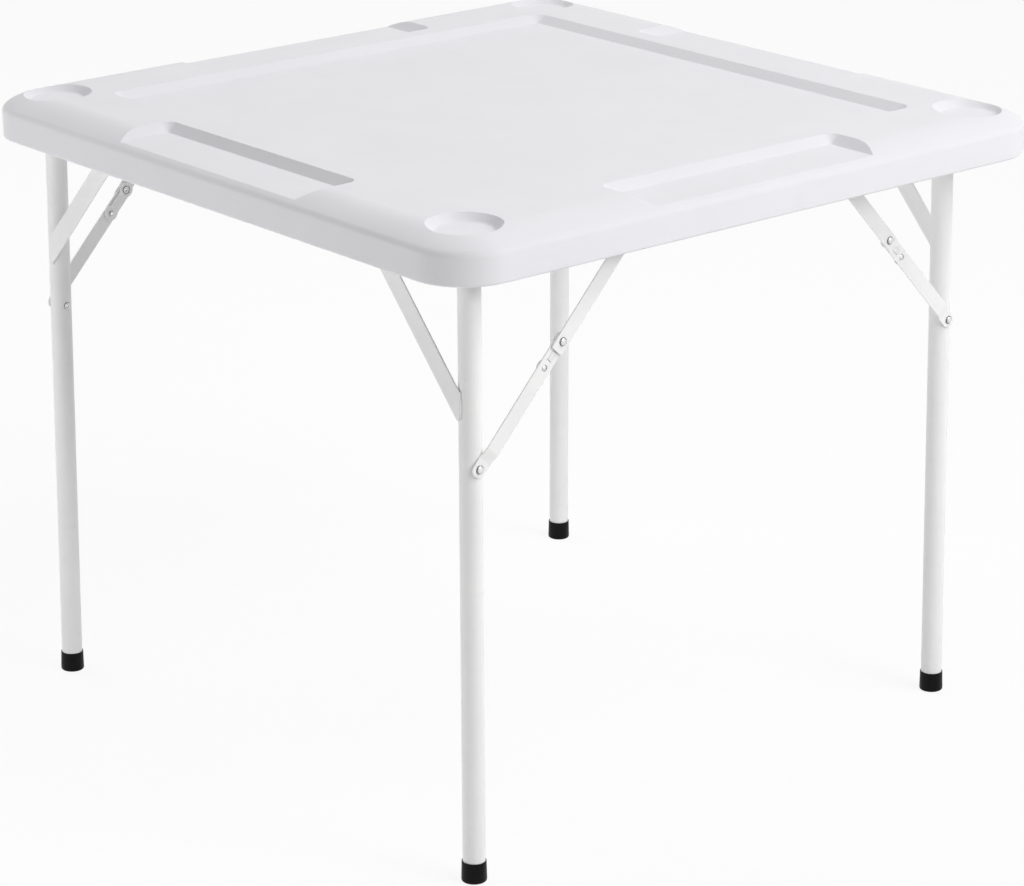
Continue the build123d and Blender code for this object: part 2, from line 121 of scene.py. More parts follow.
class LegFrame:
    """Where one leg frame stands and its braces run, at the front right corner."""

    def __init__(self, foot_x, hinge_z):
        self.hinge = Vector((foot_x - SPLAY_X, SPLAY_Y - FOOT_Y, hinge_z))
        self.foot = Vector((foot_x, -FOOT_Y, 0))
        self.down = (self.foot - self.hinge).normalized()
        self.tilt = atan2(SPLAY_Y, hinge_z)
        self.rivet_x = self.hinge.x + SPLAY_X * RIVET_DROP / hinge_z
        self.leg_rivet = Vector((0, self.hinge.y - RIVET_DROP * sin(self.tilt),
                                 hinge_z - RIVET_DROP * cos(self.tilt)))
        self.bracket_rivet = Vector((0, self.hinge.y + BRACKET_REACH, hinge_z))
        run = self.bracket_rivet - self.leg_rivet
        self.along = run.normalized()
        self.across = Vector((1, 0, 0)).cross(self.along)
        self.lower_length = (run.length + LOWER_EXCESS) / 2
        self.upper_length = (run.length - LOWER_EXCESS) / 2
        # Inner faces, from the leg outward: the lower link below and above its joggle, the
        # spring lock inside it, the upper link outside it, and the bracket's ear.
        self.tab_x = self.rivet_x + TUBE_RADIUS + TUBE_GAP
        self.lower_x = self.tab_x + JOGGLE_HEIGHT
        self.lock_x = self.lower_x - LOCK_THICKNESS - LINK_GAP
        self.upper_x = self.lower_x + LINK_THICKNESS + LINK_GAP
        self.ear_x = self.upper_x + LINK_THICKNESS + LINK_GAP

    def on_brace(self, x, distance):
        """A point at this x and this far up the brace from the leg rivet."""
        place = self.leg_rivet + self.along * distance
        return Vector((x, place.y, place.z))


FRAMES = {"front": LegFrame(391, 697), "rear": LegFrame(347.5, 698)}


# Materials
PATCH_RANGE = (0.35, 0.65)
SCUFF_SCALE = 70
SCUFF_STRETCH = (1.0, 0.35, 1.6)
SCUFF_FADE = 0.12
SCUFF_SHARE = 0.35
GLOSS_RANGE = (0.3, 0.7)
GLOSS_FINENESS = 3.1
# Painted shade on rivet flanks: full where the normal's X part is below TURNED_AWAY, none
# above FACING
TURNED_AWAY = 0.70
FACING = 0.97


def new_material(name):
    material = bpy.data.materials.new(name)
    material.use_nodes = True
    nodes = material.node_tree.nodes
    links = material.node_tree.links
    return material, nodes, links, nodes["Principled BSDF"]


def noise(nodes, links, source, scale, detail=3.0, stretch=None):
    """The value of a noise texture, stretched where stretch gives a scale to each axis."""
    texture = nodes.new("ShaderNodeTexNoise")
    texture.inputs["Scale"].default_value = scale
    texture.inputs["Detail"].default_value = detail
    if stretch:
        mapping = nodes.new("ShaderNodeMapping")
        mapping.inputs["Scale"].default_value = stretch
        links.new(source, mapping.inputs["Vector"])
        source = mapping.outputs["Vector"]
    links.new(source, texture.inputs["Vector"])
    return texture.outputs["Fac"]


def remap(nodes, links, value, low, high, out_low, out_high):
    """A value moved from one range to another and held within it."""
    node = nodes.new("ShaderNodeMapRange")
    node.inputs["From Min"].default_value = low
    node.inputs["From Max"].default_value = high
    node.inputs["To Min"].default_value = out_low
    node.inputs["To Max"].default_value = out_high
    links.new(value, node.inputs["Value"])
    return node.outputs["Result"]


def mix_colours(nodes, links, factor, first, second):
    """A mix of two colours, each either a tuple or the output of a node."""
    node = nodes.new("ShaderNodeMix")
    node.data_type = "RGBA"
    links.new(factor, node.inputs["Factor"])
    for socket, colour in ((node.inputs[6], first), (node.inputs[7], second)):
        if isinstance(colour, tuple):
            socket.default_value = (*colour, 1.0)
        else:
            links.new(colour, socket)
    return node.outputs[2]


def bump(nodes, links, height, distance, strength, below=None):
    """A bumped normal, on top of the normal below where there is one."""
    node = nodes.new("ShaderNodeBump")
    node.inputs["Distance"].default_value = distance
    node.inputs["Strength"].default_value = strength
    links.new(height, node.inputs["Height"])
    if below is not None:
        links.new(below, node.inputs["Normal"])
    return node.outputs["Normal"]


def painted_shade_mask(nodes, links):
    """Mask of painted shade: 1 where the surface turns well away from the X axis and 0 where
    it faces along it.
    """
    split = nodes.new("ShaderNodeSeparateXYZ")
    links.new(nodes.new("ShaderNodeTexCoord").outputs["Normal"], split.inputs[0])
    size = nodes.new("ShaderNodeMath")
    size.operation = "ABSOLUTE"
    links.new(split.outputs["X"], size.inputs[0])
    return remap(nodes, links, size.outputs[0], TURNED_AWAY, FACING, 1, 0)


def surface_material(name, colours, wear, roughness, metallic, grains, patch_scale,
                     wear_share=0.60, specular=0.5, painted_flank_shade=None):
    """A material with slow colour patches, scuffs, uneven gloss and layers of fine grain.

    colours are the two patch colours, wear the scuff colour, roughness its lowest and
    highest value, and grains a list of (scale, distance in metres, strength). The last
    argument is the colour of painted shade on surfaces that turn away from the X axis,
    along which the rivets are set: it darkens the sides of domes and the hollows of rolled
    ends.
    """
    material, nodes, links, shader = new_material(name)
    source = nodes.new("ShaderNodeTexCoord").outputs["Object"]
    patches = noise(nodes, links, source, patch_scale, 4.0)
    patched = remap(nodes, links, patches, *PATCH_RANGE, 0, 1)
    base = mix_colours(nodes, links, patched, *colours)
    scuffs = noise(nodes, links, source, SCUFF_SCALE, 8.0, SCUFF_STRETCH)
    scuffed = remap(nodes, links, scuffs, wear_share, wear_share + SCUFF_FADE, 0, SCUFF_SHARE)
    worn_and_shaded = mix_colours(nodes, links, scuffed, base, wear)
    # Painted shade: surfaces turned away from the X axis, such as rivet domes' sides and
    # rolled ends' hollows, take the dark colour
    if painted_flank_shade:
        worn_and_shaded = mix_colours(nodes, links, painted_shade_mask(nodes, links), worn_and_shaded, painted_flank_shade)
    links.new(worn_and_shaded, shader.inputs["Base Color"])
    gloss = noise(nodes, links, source, patch_scale * GLOSS_FINENESS, 5.0)
    uneven = remap(nodes, links, gloss, *GLOSS_RANGE, *roughness)
    links.new(uneven, shader.inputs["Roughness"])
    shader.inputs["Metallic"].default_value = metallic
    shader.inputs["Specular IOR Level"].default_value = specular
    normal = None
    for scale, distance, strength in grains:
        height = noise(nodes, links, source, scale, 2.0)
        normal = bump(nodes, links, height, distance, strength, normal)
    links.new(normal, shader.inputs["Normal"])
    return material


MATERIALS = {
    "top_plastic": surface_material(
        "moulded_plastic", ((0.800, 0.793, 0.820), (0.786, 0.780, 0.806)),
        (0.772, 0.768, 0.790), (0.40, 0.50), 0.0,
        ((1500, 0.00022, 0.22), (420, 0.0003, 0.10)), 9, specular=0.07),
    "frame_paint": surface_material(
        "powder_coat", ((0.870, 0.870, 0.865), (0.848, 0.849, 0.845)),
        (0.81, 0.81, 0.805), (0.42, 0.52), 0.0,
        ((900, 0.0003, 0.18), (300, 0.0004, 0.10)), 16, specular=0.25),
    "lock_steel": surface_material(
        "coated_spring_steel", ((0.835, 0.835, 0.830), (0.800, 0.802, 0.798)),
        (0.66, 0.66, 0.65), (0.28, 0.40), 0.0, ((1400, 0.0002, 0.20),), 60),
    # Rivet steel carries painted shade: near black on surfaces turned away from the X axis
    "bare_steel": surface_material(
        "rivet_steel", ((0.84, 0.84, 0.83), (0.74, 0.74, 0.73)),
        (0.50, 0.495, 0.48), (0.26, 0.40), 1.0, ((1600, 0.0002, 0.25),), 90,
        painted_flank_shade=(0.13, 0.13, 0.13)),
    "plug_plastic": surface_material(
        "nylon", ((0.052, 0.052, 0.054), (0.040, 0.040, 0.042)),
        (0.09, 0.09, 0.09), (0.38, 0.52), 0.0, ((1200, 0.0002, 0.20),), 40),
    "foot_rubber": surface_material(
        "rubber", ((0.003, 0.003, 0.003), (0.005, 0.005, 0.005)),
        (0.014, 0.014, 0.013), (0.32, 0.46), 0.0, ((1100, 0.0003, 0.25),), 45,
        specular=0.10),
}


# Mesh tools
SAME_PLACE_DIGITS = 3  # points that agree to these digits of a millimetre are one
CDT_TOLERANCE = 1e-4
CONVEX, INSIDE = 0, 1  # what delaunay_2d_cdt keeps: all triangles, or those in the loops


class Shape:
    """Points and faces in millimetres, with a normal at every corner of every face."""

    def __init__(self):
        self.points = []
        self.faces = []
        self.normals = []

    def add_points(self, points):
        start = len(self.points)
        self.points += [tuple(point) for point in points]
        return list(range(start, len(self.points)))

    def add_face(self, corners, normals):
        self.faces.append(list(corners))
        self.normals.append([tuple(normal) for normal in normals])

    def add_band(self, first, second, first_normals, second_normals):
        """Quads between two closed rings of the same number of points."""
        count = len(first)
        for k in range(count):
            n = (k + 1) % count
            self.add_face((first[k], first[n], second[n], second[k]),
                          (first_normals[k], first_normals[n],
                           second_normals[n], second_normals[k]))

    def moved_to(self, end, side):
        """This shape, mirrored from the front right corner to another one."""
        flip = Vector((-1 if side == "left" else 1, -1 if end == "rear" else 1, 1))
        turned = (side == "left") != (end == "rear")
        copy = Shape()
        copy.points = [tuple(a * b for a, b in zip(point, flip)) for point in self.points]
        for corners, normals in zip(self.faces, self.normals):
            normals = [tuple(a * b for a, b in zip(normal, flip)) for normal in normals]
            step = -1 if turned else 1
            copy.add_face(corners[::step], normals[::step])
        return copy


def piece(name, shape, slot, body, *nodes):
    """Make an object of a shape, dress it, hang it on its body and replace its nodes."""
    mesh = bpy.data.meshes.new(name)
    points, faces, corner_normals = joined(shape)
    mesh.from_pydata([(x * MM, y * MM, z * MM) for x, y, z in points], [], faces)
    mesh.polygons.foreach_set("use_smooth", [True] * len(mesh.polygons))
    mesh.normals_split_custom_set(corner_normals)
    mesh.materials.append(MATERIALS[slot])
    obj = bpy.data.objects.new(name, mesh)
    bpy.context.scene.collection.objects.link(obj)
    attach(obj, body)
    if nodes:
        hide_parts(*nodes)


def joined(shape):
    """The points, faces and corner normals of a shape, with points that coincide made one."""
    places, points, numbers = {}, [], []
    for point in shape.points:
        key = tuple(round(value, SAME_PLACE_DIGITS) for value in point)
        if key not in places:
            places[key] = len(points)
            points.append(point)
        numbers.append(places[key])
    faces, corner_normals = [], []
    for corners, normals in zip(shape.faces, shape.normals):
        kept, kept_normals = [], []
        for corner, normal in zip(corners, normals):
            if numbers[corner] not in kept:
                kept.append(numbers[corner])
                kept_normals.append(normal)
        if len(kept) > 2:
            faces.append(kept)
            corner_normals += kept_normals
    return points, faces, corner_normals


def triangulate(loops, kept, extra_edges=()):
    """Flat points and triangles whose sides follow the loops and the extra edges."""
    points, edges = [], []
    for loop in loops:
        start, count = len(points), len(loop)
        points += [Vector(point) for point in loop]
        edges += [(start + k, start + (k + 1) % count) for k in range(count)]
    for pair in extra_edges:
        edges.append((len(points), len(points) + 1))
        points += [Vector(point) for point in pair]
    result = delaunay_2d_cdt(points, edges, [], kept, CDT_TOLERANCE)
    return np.array([tuple(point) for point in result[0]]), result[2]


def fill(loops, extra_edges=()):
    """Triangles that fill the area inside the first loop and outside the others."""
    flat, triangles = triangulate(loops, INSIDE, extra_edges)
    holes = [np.array(loop) for loop in loops[1:]]
    triangles = [triangle for triangle in triangles
                 if not any(inside(flat[list(triangle)].mean(axis=0), hole) for hole in holes)]
    return flat, triangles


def inside(point, loop):
    """Whether a point lies inside a loop."""
    x, y = point
    following = np.roll(loop, -1, axis=0)
    crossing = (loop[:, 1] > y) != (following[:, 1] > y)
    start, finish = loop[crossing], following[crossing]
    reach = start[:, 0] + (y - start[:, 1]) * (finish[:, 0] - start[:, 0]) / (
        finish[:, 1] - start[:, 1])
    return bool(np.sum(reach > x) % 2)


def rounded_outline(half_x, half_y, radius, steps, centre=(0, 0), spacing=0):
    """Counter-clockwise rounded rectangle, as rows of x, y and the outward normal."""
    rows = []
    for number, (side_x, side_y) in enumerate(((1, -1), (1, 1), (-1, 1), (-1, -1))):
        for k in range(steps + 1):
            turn = radians(90 * (number - 1 + k / steps))
            rows.append((centre[0] + side_x * (half_x - radius) + radius * cos(turn),
                         centre[1] + side_y * (half_y - radius) + radius * sin(turn),
                         cos(turn), sin(turn)))
    return divided(rows, spacing) if spacing else rows


def divided(rows, spacing):
    """The same loop with its long straight runs divided."""
    result = []
    for k, row in enumerate(rows):
        following = rows[(k + 1) % len(rows)]
        result.append(row)
        gap = hypot(following[0] - row[0], following[1] - row[1])
        pieces = int(gap / spacing)
        for n in range(1, pieces):
            share = n / pieces
            result.append(tuple(a + (b - a) * share for a, b in zip(row, following)))
    return result


def smooth_min(first, second, width):
    """The lower of two heights, blended where they differ by less than width."""
    blend = np.clip(1 - np.abs(first - second) / width, 0, 1)
    return np.minimum(first, second) - blend * blend * width / 4


def smooth_max(first, second, width):
    return -smooth_min(-first, -second, width)


def inset_of(x, y, half_x, half_y, radius, centre=(0, 0)):
    """Distance inside a rounded rectangle, negative outside it."""
    across = np.abs(x - centre[0]) - (half_x - radius)
    along = np.abs(y - centre[1]) - (half_y - radius)
    outer = np.hypot(np.maximum(across, 0), np.maximum(along, 0))
    return radius - outer - np.minimum(np.maximum(across, along), 0)


# Tabletop
CORNER_STEPS = 16
EDGE_SPACING = 40
WIDE_STEPS = 10
TIGHT_STEPS = 9
# Lines of the mesh on both sides of the line where the trays run out, in millimetres
EXIT_LINES = (-1.05, -0.7, -0.35, 0, 0.35, 0.7, 1.05)
# Lines of the mesh across a recess's rounded rim and foot, in shares of their run
RIM_LINES = (-1.8, -1, -0.5, 0, 0.5, 1)
FLOOR_LINES = (-1, -0.5, 0, 0.5, 1)
RECESS_STEPS = 14
FINE_SPACING = 5
COARSE_SPACING = 60
SKIRT_STEPS = 5
HALVINGS = 30


class Recess:
    """A sunk shape of the top, with sloping walls, a rounded rim and a rounded foot.

    slope is the lean of the walls from upright, in degrees.
    """

    def __init__(self, half_x, half_y, corner, centre, depth, slope, floor_radius):
        self.outline = (half_x, half_y, corner, centre)
        self.depth = depth
        self.reach = tan(radians(slope))
        rise = 1 / self.reach
        lean = sin(radians(90 - slope))
        self.rim = rise * RIM_RADIUS * lean / 2
        self.foot = rise * floor_radius * lean / 2
        self.rim_run = self.rim * self.reach
        self.foot_run = self.foot * self.reach

    def inset(self, x, y):
        half_x, half_y, corner, centre = self.outline
        return inset_of(x, y, half_x, half_y, corner, centre)

    def height(self, x, y):
        wall = TABLE_HEIGHT - self.inset(x, y) / self.reach
        return smooth_max(wall, TABLE_HEIGHT - self.depth, self.foot)

    def loops(self, spacing):
        """Lines that the mesh follows, along the rim, the wall and the floor."""
        half_x, half_y, corner, centre = self.outline
        rows = rounded_outline(half_x, half_y, corner, RECESS_STEPS, centre, spacing)
        floor = self.depth * self.reach
        rims = [rim_inset(row, self) for row in rows]
        lines = []
        for share in RIM_LINES:
            lines.append([moved_in(row, rim + share * self.rim_run)
                          for row, rim in zip(rows, rims)])
        for share in FLOOR_LINES:
            lines.append([moved_in(row, floor + share * self.foot_run) for row in rows])
        return lines


def moved_in(row, distance):
    """The point of an outline's row, moved inward along its normal."""
    x, y, out_x, out_y = row
    return (x - out_x * distance, y - out_y * distance)


def rim_inset(row, recess):
    """How far inside its outline a recess's wall comes up through the rolled surface."""
    low, high = 0.0, recess.depth * recess.reach
    for _ in range(HALVINGS):
        middle = (low + high) / 2
        x, y = moved_in(row, middle)
        drop = TABLE_HEIGHT - float(rolled_height(x, y))
        if middle < drop * recess.reach:
            low = middle
        else:
            high = middle
    return low


ROLL_START = WIDE_RADIUS * sin(EDGE_SLOPE)
ROLL_CENTRE = ROLL_START - EDGE_RADIUS * sin(EDGE_SLOPE)
ROLL_HEIGHT = (TABLE_HEIGHT - WIDE_RADIUS * (1 - cos(EDGE_SLOPE))
               - EDGE_RADIUS * cos(EDGE_SLOPE))


def edge_lean(inset):
    """Sine of the slope of the rolled edge this far inside the outline."""
    run = np.clip(EDGE_RUN - inset, 0, EDGE_RUN)
    return np.where(run < ROLL_START, run / WIDE_RADIUS, (run - ROLL_CENTRE) / EDGE_RADIUS)


def rolled_height(x, y):
    """Height of the top's surface without its recesses: level, wide roll, tight roll."""
    lean = np.clip(edge_lean(inset_of(x, y, HALF_TOP, HALF_TOP, CORNER_RADIUS)), 0, 1)
    upright = np.sqrt(1 - lean * lean)
    wide = TABLE_HEIGHT - WIDE_RADIUS * (1 - upright)
    return np.where(lean <= sin(EDGE_SLOPE), wide, ROLL_HEIGHT + EDGE_RADIUS * upright)


TRAY_MIDDLE = (TRAY_INNER + TRAY_OUTER) / 2
TRAY_HALF_WIDTH = (TRAY_OUTER - TRAY_INNER) / 2
TRAY_WALLS = (TRAY_DEPTH, TRAY_SLOPE, TRAY_FLOOR_RADIUS)
RECESSES = [Recess(FIELD_HALF, FIELD_HALF, FIELD_CORNER, (0, 0),
                   FIELD_DEPTH, FIELD_SLOPE, FIELD_FLOOR_RADIUS)]
for sign in (-1, 1):
    RECESSES.append(Recess(TRAY_HALF_WIDTH, TRAY_HALF_LENGTH, TRAY_CORNER,
                           (sign * TRAY_MIDDLE, 0), *TRAY_WALLS))
    RECESSES.append(Recess(TRAY_HALF_LENGTH, TRAY_HALF_WIDTH, TRAY_CORNER,
                           (0, sign * TRAY_MIDDLE), *TRAY_WALLS))
    for other in (-1, 1):
        RECESSES.append(Recess(CUP_RADIUS, CUP_RADIUS, CUP_RADIUS,
                               (sign * CUP_CENTRE, other * CUP_CENTRE),
                               CUP_DEPTH, CUP_SLOPE, CUP_FLOOR_RADIUS))


def top_height(x, y):
    """Height of the top's surface with its recesses."""
    height = rolled_height(x, y)
    for recess in RECESSES:
        height = smooth_min(height, recess.height(x, y), recess.rim)
    return height


def top_normals(x, y):
    """Normals of the top's surface, exact on the rolled edge and measured elsewhere."""
    step = 0.02  # mm
    slope_x = (top_height(x + step, y) - top_height(x - step, y)) / (2 * step)
    slope_y = (top_height(x, y + step) - top_height(x, y - step)) / (2 * step)
    normals = np.stack([-slope_x, -slope_y, np.ones_like(slope_x)], axis=1)
    inset = inset_of(x, y, HALF_TOP, HALF_TOP, CORNER_RADIUS)
    lean = np.clip(edge_lean(inset), 0, 1)
    core = HALF_TOP - CORNER_RADIUS
    out = np.stack([np.sign(x) * np.maximum(np.abs(x) - core, 0),
                    np.sign(y) * np.maximum(np.abs(y) - core, 0)], axis=1)
    out /= np.maximum(np.linalg.norm(out, axis=1, keepdims=True), 1e-9)
    rolled = np.stack([out[:, 0] * lean, out[:, 1] * lean, np.sqrt(1 - lean * lean)], axis=1)
    plain = np.abs(top_height(x, y) - rolled_height(x, y)) < 1e-9
    edge = plain & (inset < EDGE_RUN)
    normals[edge] = rolled[edge]
    return normals / np.linalg.norm(normals, axis=1, keepdims=True)


def skirt_profile():
    """The skirt from the rolled edge to the underside, as (inset, z, outward, upward)."""
    rows = []
    steps = SKIRT_STEPS
    for k in range(steps + 1):
        turn = pi / 2 * k / steps
        rows.append((LIP_RADIUS * (1 - cos(turn)), SKIRT_BOTTOM + LIP_RADIUS * (1 - sin(turn)),
                     cos(turn), -sin(turn)))
    for k in range(steps + 1):
        turn = pi / 2 * (1 - k / steps)
        rows.append((SKIRT_WALL - LIP_RADIUS * (1 - cos(turn)),
                     SKIRT_BOTTOM + LIP_RADIUS * (1 - sin(turn)), -cos(turn), -sin(turn)))
    straight = (UNDERSIDE - SKIRT_BOTTOM) * SKIRT_STRAIGHT
    wall_top = SKIRT_WALL + straight * tan(radians(SKIRT_DRAFT))
    rows.append((wall_top, UNDERSIDE - SKIRT_BEND, -1, 0))
    for k in range(1, steps + 1):
        turn = pi / 2 * k / steps
        rows.append((wall_top + SKIRT_BEND * (1 - cos(turn)),
                     UNDERSIDE - SKIRT_BEND * (1 - sin(turn)), -cos(turn), -sin(turn)))
    return rows


def make_top():
    """The whole moulding: a mesh over the height of the top, the skirt and the underside."""
    shape = Shape()
    outline = rounded_outline(HALF_TOP, HALF_TOP, CORNER_RADIUS, CORNER_STEPS,
                              spacing=EDGE_SPACING)
    loops = [[row[:2] for row in outline]]
    runs = [sin(EDGE_SLOPE * k / WIDE_STEPS) * WIDE_RADIUS for k in range(WIDE_STEPS + 1)]
    for k in range(1, TIGHT_STEPS):
        turn = EDGE_SLOPE + (pi / 2 - EDGE_SLOPE) * k / TIGHT_STEPS
        runs.append(ROLL_CENTRE + EDGE_RADIUS * sin(turn))
    exit_run = sqrt(WIDE_RADIUS ** 2 - (WIDE_RADIUS - TRAY_DEPTH) ** 2)
    runs += [exit_run + offset for offset in EXIT_LINES]
    for run in runs:
        loops.append([moved_in(row, EDGE_RUN - run) for row in outline])
    for recess in RECESSES:
        near_edge = recess.outline[0] < FIELD_HALF or recess.outline[1] < FIELD_HALF
        loops += recess.loops(FINE_SPACING if near_edge else COARSE_SPACING)
    flat, triangles = triangulate(loops, CONVEX)
    x, y = flat[:, 0], flat[:, 1]
    normals = top_normals(x, y)
    upper = shape.add_points(np.stack([x, y, top_height(x, y)], axis=1).tolist())
    for corners in triangles:
        shape.add_face([upper[k] for k in corners], [normals[k] for k in corners])
    ring = [upper[number] for number in edge_ring(flat, outline)]
    ring_normals = [(row[2], row[3], 0) for row in outline]
    for inset, z, out, up in skirt_profile():
        rows = [(*moved_in(row, inset), z) for row in outline]
        next_normals = [(row[2] * out, row[3] * out, up) for row in outline]
        following = shape.add_points(rows)
        shape.add_band(following, ring, next_normals, ring_normals)
        ring, ring_normals = following, next_normals
        last_loop = [row[:2] for row in rows]
    bottom, triangles = fill([last_loop])
    lower = shape.add_points([(px, py, UNDERSIDE) for px, py in bottom])
    for corners in triangles:
        shape.add_face([lower[k] for k in corners[::-1]], [(0, 0, -1)] * 3)
    return shape


def edge_ring(flat, outline):
    """The numbers of the points that lie on the outline, in its order."""
    numbers = []
    for row in outline:
        distance = (flat[:, 0] - row[0]) ** 2 + (flat[:, 1] - row[1]) ** 2
        numbers.append(int(np.argmin(distance)))
    return numbers


piece("tabletop_moulding", make_top(), "top_plastic", "tabletop", "tabletop")


# Steel pieces
SMOOTH_TURN = 0.76  # cosine of the sharpest turn of a profile that is shaded smooth
ASKEW = Vector((0.31, 0.17, 0.93))  # along none of the beads
LEG_BEAD = 1.5
STRAP_BEAD = 1.1
BEAD_STEPS = 15
WINDOW_CORNER = 0.8
CATCH_CORNER = 0.6
LOCK_BEND = 3
EYE_RADIUS = 5.8
SHANK_HOLE = 2.1
RIVET_HOLE = 3.4
HEAD_RADIUS = 4.8
HEAD_RIM = 0.35
RIVET_SEGMENTS = 28
# Profile of a rivet's rolled end: hollow in the middle, rounded over outside
ROLLED_TAIL = [(0.0, 0.12), (1.1, 0.15), (1.7, 0.45), (2.2, 0.95), (2.8, 1.25), (3.3, 1.2),
               (3.9, 0.8), (4.2, 0.3), (4.2, 0.0), (0.0, 0.0)]
FOOT_SEGMENTS = 48


class Sheet:
    """Places a flat pattern in space: u along it, v across it and w out of it.

    joggle is where the sheet steps out, over which run and how far.
    """

    def __init__(self, origin, along, across, joggle=None):
        self.origin, self.along, self.across = Vector(origin), Vector(along), Vector(across)
        self.out = self.along.cross(self.across)
        self.joggle = joggle

    def lift(self, u):
        """How far the joggle has stepped the sheet out at u."""
        if self.joggle is None:
            return 0.0
        start, run, height = self.joggle
        ramp = np.float64((u - start) / run * height)
        ramp = smooth_min(ramp, np.float64(height), JOGGLE_BEND)
        return float(smooth_max(ramp, np.float64(0.0), JOGGLE_BEND))

    def point(self, u, v, w):
        w += self.lift(u)
        return self.origin + self.along * u + self.across * v + self.out * w

    def normal(self, u, normal_u, normal_v, normal_w):
        """A normal of the flat pattern, turned with the sheet's slope at u."""
        step = 0.05
        slope = (self.lift(u + step) - self.lift(u - step)) / (2 * step)
        turned = (self.along * (normal_u - normal_w * slope) + self.across * normal_v
                  + self.out * normal_w)
        return turned.normalized()


def edge_levels(thickness, edge):
    """Rounded edges of a plate, as (inset, w, outward, upward)."""
    half = sqrt(0.5)
    soft = edge * (1 - half)
    return [(edge, 0, 0, -1), (soft, soft, half, -half), (0, edge, 1, 0),
            (0, thickness - edge, 1, 0), (soft, thickness - soft, half, half),
            (edge, thickness, 0, 1)]


def add_plate(shape, sheet, outline, levels, holes=(), across=()):
    """A plate of this outline with rounded edges and holes, on a flat or joggled sheet."""
    caps = ([], [])
    for rows in (outline, *holes):
        ring = ring_normals = None
        for number, (inset, w, out, up) in enumerate(levels):
            flat = [moved_in(row, inset) for row in rows]
            following = shape.add_points([sheet.point(u, v, w) for u, v in flat])
            next_normals = [sheet.normal(point[0], row[2] * out, row[3] * out, up)
                            for point, row in zip(flat, rows)]
            if ring:
                shape.add_band(ring, following, ring_normals, next_normals)
            ring, ring_normals = following, next_normals
            if number == 0:
                caps[0].append(flat)
        caps[1].append(flat)
    for (loops, level, sign) in ((caps[0], levels[0], -1), (caps[1], levels[-1], 1)):
        flat, triangles = fill(loops, across)
        numbers = shape.add_points([sheet.point(u, v, level[1]) for u, v in flat])
        for corners in triangles:
            corners = corners[::sign]
            shape.add_face([numbers[k] for k in corners],
                           [sheet.normal(flat[k][0], 0, 0, sign) for k in corners])


def hole_rows(rows):
    """An outline turned inside out, for a hole."""
    return [(x, y, -out_x, -out_y) for x, y, out_x, out_y in rows[::-1]]


def circle_rows(centre, radius, steps=32):
    return [(centre + radius * cos(2 * pi * k / steps), radius * sin(2 * pi * k / steps),
             cos(2 * pi * k / steps), sin(2 * pi * k / steps)) for k in range(steps)]


def slot_rows(length, half, spacing):
    """A strip with round ends about (0, 0) and (length, 0)."""
    return rounded_outline(length / 2 + half, half, half, 12, (length / 2, 0), spacing)


def arc_rows(centre, radius, start, finish, steps, sign=1):
    """Part of an outline: an arc about centre, with normals away from it, or towards it."""
    rows = []
    for k in range(steps + 1):
        turn = start + (finish - start) * k / steps
        rows.append((centre[0] + radius * cos(turn), centre[1] + radius * sin(turn),
                     sign * cos(turn), sign * sin(turn)))
    return rows


def waisted_rows(length, radius, waist, bend):
    """Two discs joined by a narrower strip, with rounded inner corners."""
    reach = sqrt((radius + bend) ** 2 - (waist + bend) ** 2)
    turn = atan2(waist + bend, reach)
    rows = arc_rows((length, 0), radius, turn - pi, pi - turn, 20)
    rows += arc_rows((length - reach, waist + bend), bend, -turn, -pi / 2, 5, -1)
    rows += arc_rows((reach, waist + bend), bend, -pi / 2, turn - pi, 5, -1)
    rows += arc_rows((0, 0), radius, turn, 2 * pi - turn, 20)
    rows += arc_rows((reach, -waist - bend), bend, pi - turn, pi / 2, 5, -1)
    rows += arc_rows((length - reach, -waist - bend), bend, pi / 2, turn, 5, -1)
    return rows


def polygon_rows(corners, radius, steps=6):
    """A counter-clockwise polygon with rounded corners."""
    rows = []
    count = len(corners)
    for k in range(count):
        before, corner = Vector(corners[k - 1]), Vector(corners[k])
        after = Vector(corners[(k + 1) % count])
        arriving = (corner - before).normalized()
        leaving = (after - corner).normalized()
        first = atan2(-arriving.x, arriving.y)
        turn = atan2(arriving.x * leaving.y - arriving.y * leaving.x, arriving.dot(leaving))
        cut = radius * tan(turn / 2)
        start = corner - arriving * cut
        centre = start + Vector((-arriving.y, arriving.x)) * radius
        rows += arc_rows(centre, radius, first, first + turn, steps)
    return rows


def add_lathe(shape, origin, axis, profile, segments=32, floor=None):
    """A turned piece. The profile, (radius, height), runs from the far end to the near one.

    floor is a height in space below which no point may lie.
    """
    axis = Vector(axis).normalized()
    side = axis.orthogonal().normalized()
    other = axis.cross(side)
    directions = [side * cos(2 * pi * k / segments) + other * sin(2 * pi * k / segments)
                  for k in range(segments)]
    slopes = []
    for (radius, height), (next_radius, next_height) in zip(profile, profile[1:]):
        slopes.append(Vector((height - next_height, next_radius - radius)).normalized())
    rings = []
    for radius, height in profile:
        points = [Vector(origin) + axis * height + direction * radius
                  for direction in directions]
        if floor is not None:
            points = [Vector((point.x, point.y, max(point.z, floor))) for point in points]
        rings.append(shape.add_points(points))
    for k, slope in enumerate(slopes):
        ends = []
        for neighbour in (k - 1, k + 1):
            blended = slope
            if 0 <= neighbour < len(slopes) and slope.dot(slopes[neighbour]) > SMOOTH_TURN:
                blended = (slope + slopes[neighbour]).normalized()
            ends.append([direction * blended.x + axis * blended.y
                         for direction in directions])
        shape.add_band(rings[k + 1], rings[k], ends[1], ends[0])


